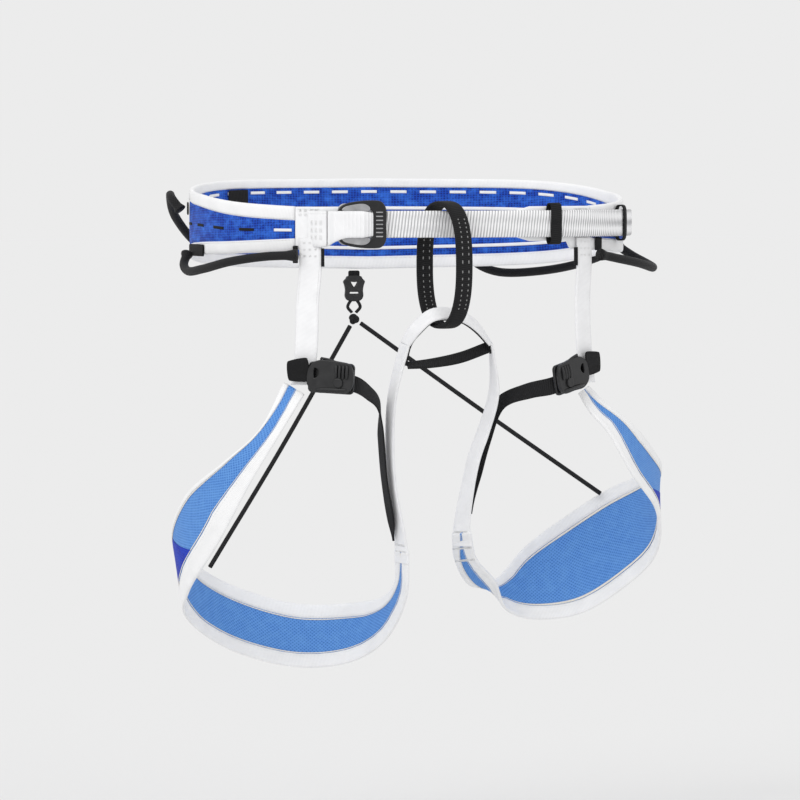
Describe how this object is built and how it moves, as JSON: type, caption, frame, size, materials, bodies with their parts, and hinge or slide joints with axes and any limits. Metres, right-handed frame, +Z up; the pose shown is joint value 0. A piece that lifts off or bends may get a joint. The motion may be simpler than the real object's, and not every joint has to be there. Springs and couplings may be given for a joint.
{
  "type": "climbing harness",
  "caption": "Soft climbing harness with padded waist belt, double-back buckle, belay loop, adjustable leg loops, gear loops and an elastic rear suspension.",
  "frame": {"origin": "middle of the waist opening, halfway up the belt", "axes": "+Z up the wearer's body, -Y the way the wearer faces, -X the wearer's right"},
  "size_m": [0.3792, 0.277, 0.3724],
  "materials": {
    "belt_mesh": "open royal blue mesh",
    "leg_mesh": "light blue laminated mesh",
    "white_binding": "matt white woven edge",
    "white_webbing": "ribbed white webbing",
    "black_webbing": "matt black webbing",
    "black_cord": "braided black elastic",
    "black_plastic": "satin moulded plastic",
    "gear_loop_tube": "matt covered tube",
    "black_buckle_metal": "black anodised",
    "grey_buckle_metal": "grey anodised"
  },
  "bodies": {
    "belt": {"waist_mesh_panel": "belt_mesh", "waist_lower_binding": "white_binding", "waist_upper_binding": "white_binding", "inner_seam_tape_upper": "white_binding", "inner_seam_tape_lower": "white_binding", "blank_inner_label": "black_webbing", "right_front_patch": "white_webbing", "left_front_patch": "white_webbing", "belt_webbing": "white_webbing", "belt_webbing_tail": "white_webbing", "buckle_anchor_webbing": "white_webbing", "waist_buckle_plate": "grey_buckle_metal", "right_riser": "white_webbing", "left_riser": "white_webbing", "leg_bridge": "white_webbing", "leg_bridge_lining": "black_webbing", "bridge_cross_strap": "black_webbing", "rear_clip_tab": "black_webbing", "front_right_gear_loop_front_tab": "black_webbing", "front_right_gear_loop_back_tab": "black_webbing", "front_left_gear_loop_front_tab": "black_webbing", "front_left_gear_loop_back_tab": "black_webbing", "rear_right_gear_loop_front_tab": "black_webbing", "rear_right_gear_loop_back_tab": "black_webbing", "rear_left_gear_loop_front_tab": "black_webbing", "rear_left_gear_loop_back_tab": "black_webbing"},
    "waist_buckle": {"waist_buckle_frame": "black_buckle_metal"},
    "front_keeper_body": {"front_keeper": "black_webbing"},
    "side_keeper_body": {"side_keeper": "black_webbing"},
    "belay_loop_body": {"belay_loop": "black_webbing"},
    "right_leg": {"right_leg_panel": "leg_mesh", "right_leg_lower_binding": "white_binding", "right_leg_upper_binding": "white_binding", "right_inner_thigh_strap": "white_webbing", "right_adjuster_strap": "black_webbing", "right_leg_buckle_frame": "black_plastic", "right_leg_buckle_webbing": "black_webbing", "right_elastic_cord": "black_cord"},
    "right_leg_hook": {"right_leg_buckle_hook": "black_plastic"},
    "left_leg": {"left_leg_panel": "leg_mesh", "left_leg_lower_binding": "white_binding", "left_leg_upper_binding": "white_binding", "left_inner_thigh_strap": "white_webbing", "left_adjuster_strap": "black_webbing", "left_leg_buckle_frame": "black_plastic", "left_leg_buckle_webbing": "black_webbing", "left_elastic_cord": "black_cord"},
    "left_leg_hook": {"left_leg_buckle_hook": "black_plastic"},
    "rear_clip_body": {"rear_clip": "black_plastic", "suspension_cord_loop": "black_cord", "suspension_knot": "black_cord"},
    "front_right_gear_loop_body": {"front_right_gear_loop": "gear_loop_tube"},
    "front_left_gear_loop_body": {"front_left_gear_loop": "gear_loop_tube"},
    "rear_right_gear_loop_body": {"rear_right_gear_loop": "gear_loop_tube"},
    "rear_left_gear_loop_body": {"rear_left_gear_loop": "gear_loop_tube"}
  },
  "joints": [
    {"name": "waist_buckle_tilt", "type": "hinge", "parent": "belt", "child": "waist_buckle", "pos_m": [-0.088, -0.1276, 0.0015], "axis": [0, 0, -1], "range_deg": [0, 20]},
    {"name": "front_keeper_slide", "type": "slide", "parent": "belt", "child": "front_keeper_body", "axis": [0.9532, 0.3023, 0], "range_m": [-0.006, 0.006]},
    {"name": "side_keeper_slide", "type": "slide", "parent": "belt", "child": "side_keeper_body", "axis": [0.5973, 0.802, 0], "range_m": [-0.003, 0.003]},
    {"name": "belay_loop_turn", "type": "hinge", "parent": "belt", "child": "belay_loop_body", "pos_m": [-0.008, -0.134, -0.028], "axis": [0, 0, 1], "range_deg": [-7, 3]},
    {"name": "right_leg_swing", "type": "hinge", "parent": "belt", "child": "right_leg", "pos_m": [0, -0.114, -0.09], "axis": [1, 0, 0], "range_deg": [-20, 12], "stiffness_Nm_per_rad": 1, "springref_deg": 1.06, "deforming": ["right_elastic_cord"]},
    {"name": "right_leg_buckle_release", "type": "hinge", "parent": "right_leg", "child": "right_leg_hook", "pos_m": [-0.1079, -0.1185, -0.1132], "axis": [-0.0429, 0.03, -0.9986], "range_deg": [0, 35]},
    {"name": "left_leg_swing", "type": "hinge", "parent": "belt", "child": "left_leg", "pos_m": [0, -0.114, -0.09], "axis": [1, 0, 0], "range_deg": [-20, 12], "stiffness_Nm_per_rad": 1, "springref_deg": 0.65, "deforming": ["left_elastic_cord"]},
    {"name": "left_leg_buckle_release", "type": "hinge", "parent": "left_leg", "child": "left_leg_hook", "pos_m": [0.1077, -0.1176, -0.1107], "axis": [-0.1703, -0.1193, 0.9781], "range_deg": [0, 35]},
    {"name": "rear_clip_swing", "type": "hinge", "parent": "belt", "child": "rear_clip_body", "pos_m": [-0.012, 0.101, -0.0423], "axis": [1, 0, 0], "range_deg": [-6, 6]},
    {"name": "front_right_gear_loop_swing", "type": "hinge", "parent": "belt", "child": "front_right_gear_loop_body", "pos_m": [-0.121, -0.109, -0.022], "axis": [-0.396, 0.9174, 0.0392], "range_deg": [-8, 25], "stiffness_Nm_per_rad": 0.02, "springref_deg": 2.46},
    {"name": "front_left_gear_loop_swing", "type": "hinge", "parent": "belt", "child": "front_left_gear_loop_body", "pos_m": [0.121, -0.109, -0.022], "axis": [-0.396, -0.9174, -0.0392], "range_deg": [-8, 25], "stiffness_Nm_per_rad": 0.02, "springref_deg": 3.61},
    {"name": "rear_right_gear_loop_swing", "type": "hinge", "parent": "belt", "child": "rear_right_gear_loop_body", "pos_m": [-0.1705, 0.022, 0.011], "axis": [0.6722, 0.6916, -0.2642], "range_deg": [-8, 25], "stiffness_Nm_per_rad": 0.02, "springref_deg": 3.9},
    {"name": "rear_left_gear_loop_swing", "type": "hinge", "parent": "belt", "child": "rear_left_gear_loop_body", "pos_m": [0.171, 0.026, -0.008], "axis": [0.7152, -0.687, 0.1286], "range_deg": [-8, 25], "stiffness_Nm_per_rad": 0.02, "springref_deg": 3.44}
  ]
}
